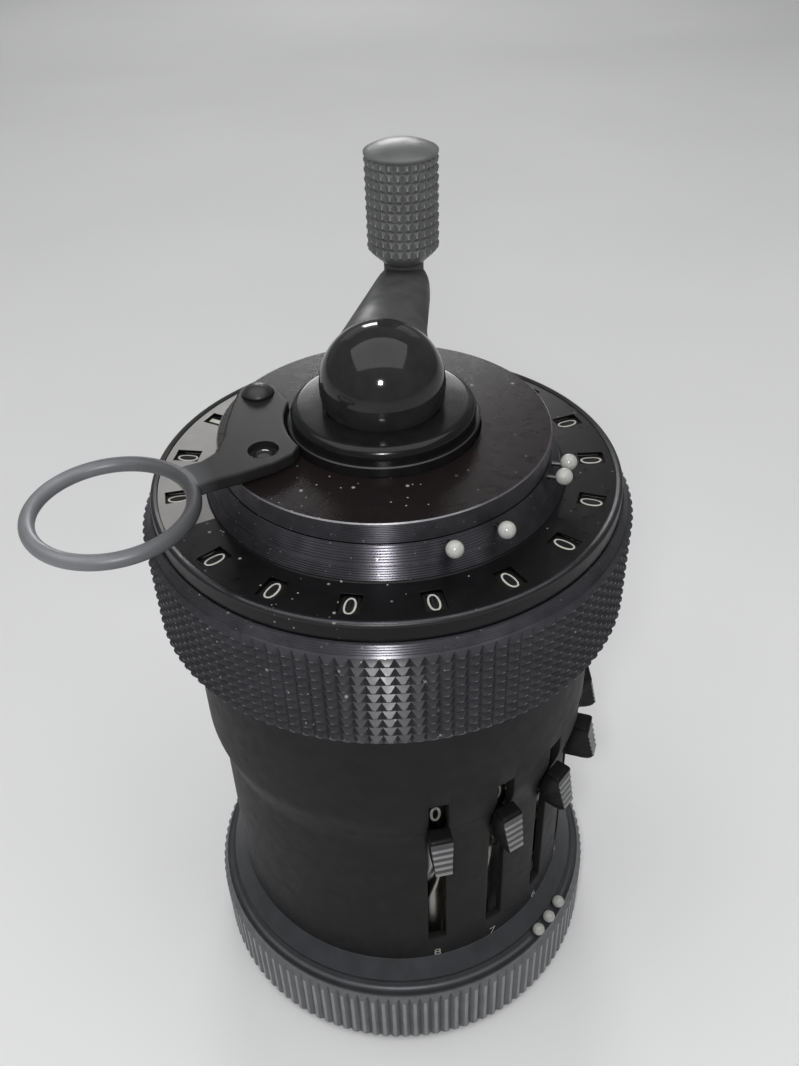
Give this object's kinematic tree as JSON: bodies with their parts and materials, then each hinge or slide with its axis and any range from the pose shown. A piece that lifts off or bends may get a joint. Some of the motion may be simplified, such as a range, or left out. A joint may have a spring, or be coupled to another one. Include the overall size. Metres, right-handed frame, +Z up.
{
  "type": "mechanical pocket calculator",
  "caption": "Hand-cranked cylindrical pocket calculator with setting slides round the body, a knurled turning carriage of number dials, a clearing lever with finger loop and a top crank.",
  "frame": {"origin": "centre of the base's flat underside", "axes": "+Z up along the machine's axis, -Y towards the side that faces the camera"},
  "size_m": [0.0606, 0.053, 0.1028],
  "materials": {
    "black_alloy": "satin black coating",
    "two_tone_deck": "satin black with a matte silver sector",
    "black_enamel": "black enamel",
    "gloss_hub": "gloss black",
    "silver_alloy": "turned",
    "bright_steel": "ground",
    "drum_alloy": "machined",
    "dial_black": "matte",
    "white_bead": "gloss"
  },
  "bodies": {
    "stand": {"base_cover": "black_alloy", "base_ring": "black_alloy", "body_shell": "black_alloy", "frame": "silver_alloy", "upper_plate": "silver_alloy", "column_collar": "black_enamel", "transmission_shafts": "bright_steel"},
    "ratchet": {"ratchet_wheel": "bright_steel"},
    "crank": {"main_shaft": "bright_steel", "step_drum": "drum_alloy", "crank_arm": "gloss_hub"},
    "grip": {"crank_grip": "black_alloy"},
    "spring": {"carriage_spring": "bright_steel"},
    "carriage": {"carriage_body": "silver_alloy", "carriage_ring": "black_alloy", "dial_cover": "two_tone_deck"},
    "clearing": {"clearing_disc": "black_alloy", "pivot_rivet": "black_enamel"},
    "lever": {"clearing_lever": "black_enamel"},
    "reverser": {"reversing_lever": "black_enamel"},
    "top_bead_1": {"top_bead_1": "white_bead"},
    "top_bead_2": {"top_bead_2": "white_bead"},
    "top_bead_3": {"top_bead_3": "white_bead"},
    "top_bead_4": {"top_bead_4": "white_bead"},
    "base_bead_1": {"base_bead_1": "white_bead"},
    "base_bead_2": {"base_bead_2": "white_bead"},
    "base_bead_3": {"base_bead_3": "white_bead"},
    "slide_1": {"slider_1": "black_enamel"},
    "setting_1": {"setting_shaft_1": "bright_steel"},
    "slide_2": {"slider_2": "black_enamel"},
    "setting_2": {"setting_shaft_2": "bright_steel"},
    "slide_3": {"slider_3": "black_enamel"},
    "setting_3": {"setting_shaft_3": "bright_steel"},
    "slide_4": {"slider_4": "black_enamel"},
    "setting_4": {"setting_shaft_4": "bright_steel"},
    "slide_5": {"slider_5": "black_enamel"},
    "setting_5": {"setting_shaft_5": "bright_steel"},
    "slide_6": {"slider_6": "black_enamel"},
    "setting_6": {"setting_shaft_6": "bright_steel"},
    "slide_7": {"slider_7": "black_enamel"},
    "setting_7": {"setting_shaft_7": "bright_steel"},
    "slide_8": {"slider_8": "black_enamel"},
    "setting_8": {"setting_shaft_8": "bright_steel"},
    "result_1": {"result_dial_1": "dial_black"},
    "result_2": {"result_dial_2": "dial_black"},
    "result_3": {"result_dial_3": "dial_black"},
    "result_4": {"result_dial_4": "dial_black"},
    "result_5": {"result_dial_5": "dial_black"},
    "result_6": {"result_dial_6": "dial_black"},
    "result_7": {"result_dial_7": "dial_black"},
    "result_8": {"result_dial_8": "dial_black"},
    "result_9": {"result_dial_9": "dial_black"},
    "result_10": {"result_dial_10": "dial_black"},
    "result_11": {"result_dial_11": "dial_black"},
    "counter_1": {"counter_dial_1": "dial_black"},
    "counter_2": {"counter_dial_2": "dial_black"},
    "counter_3": {"counter_dial_3": "dial_black"},
    "counter_4": {"counter_dial_4": "dial_black"},
    "counter_5": {"counter_dial_5": "dial_black"},
    "counter_6": {"counter_dial_6": "dial_black"}
  },
  "joints": [
    {"name": "crank_spin", "type": "hinge", "parent": "stand", "child": "ratchet", "pos_m": [0, 0, 0], "axis": [0, 0, -1], "continuous": true},
    {"name": "crank_lift", "type": "slide", "parent": "ratchet", "child": "crank", "axis": [0, 0, 1], "range_m": [0, 0.003]},
    {"name": "grip_spin", "type": "hinge", "parent": "crank", "child": "grip", "pos_m": [0.00302, 0.01906, 0.095], "axis": [0, 0, 1], "continuous": true},
    {"name": "carriage_turn", "type": "hinge", "parent": "stand", "child": "spring", "pos_m": [0, 0, 0], "axis": [0, 0, 1], "range_deg": [0, 100]},
    {"name": "carriage_lift", "type": "slide", "parent": "spring", "child": "carriage", "axis": [0, 0, 1], "range_m": [0, 0.003], "stiffness_N_per_m": 150, "springref_m": -0.006, "deforming": ["carriage_spring"]},
    {"name": "clearing_turn", "type": "hinge", "parent": "carriage", "child": "clearing", "pos_m": [0, 0, 0], "axis": [0, 0, 1], "continuous": true},
    {"name": "lever_fold", "type": "hinge", "parent": "clearing", "child": "lever", "pos_m": [-0.01333, 0.00459, 0.0806], "axis": [0, 0, 1], "range_deg": [-197, 0]},
    {"name": "reverser_slide", "type": "slide", "parent": "stand", "child": "reverser", "axis": [0, 0, 1], "range_m": [-0.005, 0]},
    {"name": "top_bead_1_slide", "type": "hinge", "parent": "carriage", "child": "top_bead_1", "pos_m": [0, 0, 0], "axis": [0, 0, 1], "range_deg": [-60, 7]},
    {"name": "top_bead_2_slide", "type": "hinge", "parent": "carriage", "child": "top_bead_2", "pos_m": [0, 0, 0], "axis": [0, 0, 1], "range_deg": [-8, 25]},
    {"name": "top_bead_3_slide", "type": "hinge", "parent": "carriage", "child": "top_bead_3", "pos_m": [0, 0, 0], "axis": [0, 0, 1], "range_deg": [-5, 1]},
    {"name": "top_bead_4_slide", "type": "hinge", "parent": "carriage", "child": "top_bead_4", "pos_m": [0, 0, 0], "axis": [0, 0, 1], "range_deg": [-1, 60]},
    {"name": "base_bead_1_slide", "type": "hinge", "parent": "stand", "child": "base_bead_1", "pos_m": [0, 0, 0], "axis": [0, 0, 1], "range_deg": [-60, 0.8]},
    {"name": "base_bead_2_slide", "type": "hinge", "parent": "stand", "child": "base_bead_2", "pos_m": [0, 0, 0], "axis": [0, 0, 1], "range_deg": [-0.8, 0.8]},
    {"name": "base_bead_3_slide", "type": "hinge", "parent": "stand", "child": "base_bead_3", "pos_m": [0, 0, 0], "axis": [0, 0, 1], "range_deg": [-0.8, 80]},
    {"name": "slider_1_set", "type": "slide", "parent": "stand", "child": "slide_1", "axis": [0, 0, -1], "range_m": [0, 0.018]},
    {"name": "setting_1_turn", "type": "hinge", "parent": "stand", "child": "setting_1", "pos_m": [0.0093, 0.01611, 0.03], "axis": [0, 0, 1], "range_deg": [-3, 327]},
    {"name": "slider_2_set", "type": "slide", "parent": "stand", "child": "slide_2", "axis": [0, 0, -1], "range_m": [0, 0.018]},
    {"name": "setting_2_turn", "type": "hinge", "parent": "stand", "child": "setting_2", "pos_m": [0.01425, 0.01196, 0.03], "axis": [0, 0, 1], "range_deg": [-3, 327]},
    {"name": "slider_3_set", "type": "slide", "parent": "stand", "child": "slide_3", "axis": [0, 0, -1], "range_m": [0, 0.018]},
    {"name": "setting_3_turn", "type": "hinge", "parent": "stand", "child": "setting_3", "pos_m": [0.01748, 0.00636, 0.03], "axis": [0, 0, 1], "range_deg": [-3, 327]},
    {"name": "slider_4_set", "type": "slide", "parent": "stand", "child": "slide_4", "axis": [0, 0, -1], "range_m": [0, 0.018]},
    {"name": "setting_4_turn", "type": "hinge", "parent": "stand", "child": "setting_4", "pos_m": [0.0186, 0, 0.03], "axis": [0, 0, 1], "range_deg": [-3, 327]},
    {"name": "slider_5_set", "type": "slide", "parent": "stand", "child": "slide_5", "axis": [0, 0, -1], "range_m": [0, 0.018]},
    {"name": "setting_5_turn", "type": "hinge", "parent": "stand", "child": "setting_5", "pos_m": [0.01748, -0.00636, 0.03], "axis": [0, 0, 1], "range_deg": [-3, 327]},
    {"name": "slider_6_set", "type": "slide", "parent": "stand", "child": "slide_6", "axis": [0, 0, -1], "range_m": [0, 0.018]},
    {"name": "setting_6_turn", "type": "hinge", "parent": "stand", "child": "setting_6", "pos_m": [0.01425, -0.01196, 0.03], "axis": [0, 0, 1], "range_deg": [-3, 327]},
    {"name": "slider_7_set", "type": "slide", "parent": "stand", "child": "slide_7", "axis": [0, 0, -1], "range_m": [0, 0.018]},
    {"name": "setting_7_turn", "type": "hinge", "parent": "stand", "child": "setting_7", "pos_m": [0.0093, -0.01611, 0.03], "axis": [0, 0, 1], "range_deg": [-3, 327]},
    {"name": "slider_8_set", "type": "slide", "parent": "stand", "child": "slide_8", "axis": [0, 0, -1], "range_m": [0, 0.018]},
    {"name": "setting_8_turn", "type": "hinge", "parent": "stand", "child": "setting_8", "pos_m": [0.00323, -0.01832, 0.03], "axis": [0, 0, 1], "range_deg": [-3, 327]},
    {"name": "result_1_turn", "type": "hinge", "parent": "carriage", "child": "result_1", "pos_m": [0.01, 0.01732, 0.0709], "axis": [0.5, 0.866, 0], "continuous": true},
    {"name": "result_2_turn", "type": "hinge", "parent": "carriage", "child": "result_2", "pos_m": [0.01532, 0.01286, 0.0709], "axis": [0.766, 0.6428, 0], "continuous": true},
    {"name": "result_3_turn", "type": "hinge", "parent": "carriage", "child": "result_3", "pos_m": [0.01879, 0.00684, 0.0709], "axis": [0.9397, 0.342, 0], "continuous": true},
    {"name": "result_4_turn", "type": "hinge", "parent": "carriage", "child": "result_4", "pos_m": [0.02, 0, 0.0709], "axis": [1, 0, 0], "continuous": true},
    {"name": "result_5_turn", "type": "hinge", "parent": "carriage", "child": "result_5", "pos_m": [0.01879, -0.00684, 0.0709], "axis": [0.9397, -0.342, 0], "continuous": true},
    {"name": "result_6_turn", "type": "hinge", "parent": "carriage", "child": "result_6", "pos_m": [0.01532, -0.01286, 0.0709], "axis": [0.766, -0.6428, 0], "continuous": true},
    {"name": "result_7_turn", "type": "hinge", "parent": "carriage", "child": "result_7", "pos_m": [0.01, -0.01732, 0.0709], "axis": [0.5, -0.866, 0], "continuous": true},
    {"name": "result_8_turn", "type": "hinge", "parent": "carriage", "child": "result_8", "pos_m": [0.00347, -0.0197, 0.0709], "axis": [0.1736, -0.9848, 0], "continuous": true},
    {"name": "result_9_turn", "type": "hinge", "parent": "carriage", "child": "result_9", "pos_m": [-0.00347, -0.0197, 0.0709], "axis": [-0.1736, -0.9848, 0], "continuous": true},
    {"name": "result_10_turn", "type": "hinge", "parent": "carriage", "child": "result_10", "pos_m": [-0.01, -0.01732, 0.0709], "axis": [-0.5, -0.866, 0], "continuous": true},
    {"name": "result_11_turn", "type": "hinge", "parent": "carriage", "child": "result_11", "pos_m": [-0.01532, -0.01286, 0.0709], "axis": [-0.766, -0.6428, 0], "continuous": true},
    {"name": "counter_1_turn", "type": "hinge", "parent": "carriage", "child": "counter_1", "pos_m": [-0.0197, -0.00347, 0.0709], "axis": [-0.9848, -0.1736, 0], "continuous": true},
    {"name": "counter_2_turn", "type": "hinge", "parent": "carriage", "child": "counter_2", "pos_m": [-0.0197, 0.00347, 0.0709], "axis": [-0.9848, 0.1736, 0], "continuous": true},
    {"name": "counter_3_turn", "type": "hinge", "parent": "carriage", "child": "counter_3", "pos_m": [-0.01732, 0.01, 0.0709], "axis": [-0.866, 0.5, 0], "continuous": true},
    {"name": "counter_4_turn", "type": "hinge", "parent": "carriage", "child": "counter_4", "pos_m": [-0.01286, 0.01532, 0.0709], "axis": [-0.6428, 0.766, 0], "continuous": true},
    {"name": "counter_5_turn", "type": "hinge", "parent": "carriage", "child": "counter_5", "pos_m": [-0.00684, 0.01879, 0.0709], "axis": [-0.342, 0.9397, 0], "continuous": true},
    {"name": "counter_6_turn", "type": "hinge", "parent": "carriage", "child": "counter_6", "pos_m": [0, 0.02, 0.0709], "axis": [0, 1, 0], "continuous": true}
  ],
  "couplings": [
    {"joint": "setting_1_turn", "follows": "slider_1_set", "rad_per_m": 314.16},
    {"joint": "setting_2_turn", "follows": "slider_2_set", "rad_per_m": 314.16},
    {"joint": "setting_3_turn", "follows": "slider_3_set", "rad_per_m": 314.16},
    {"joint": "setting_4_turn", "follows": "slider_4_set", "rad_per_m": 314.16},
    {"joint": "setting_5_turn", "follows": "slider_5_set", "rad_per_m": 314.16},
    {"joint": "setting_6_turn", "follows": "slider_6_set", "rad_per_m": 314.16},
    {"joint": "setting_7_turn", "follows": "slider_7_set", "rad_per_m": 314.16},
    {"joint": "setting_8_turn", "follows": "slider_8_set", "rad_per_m": 314.16}
  ]
}
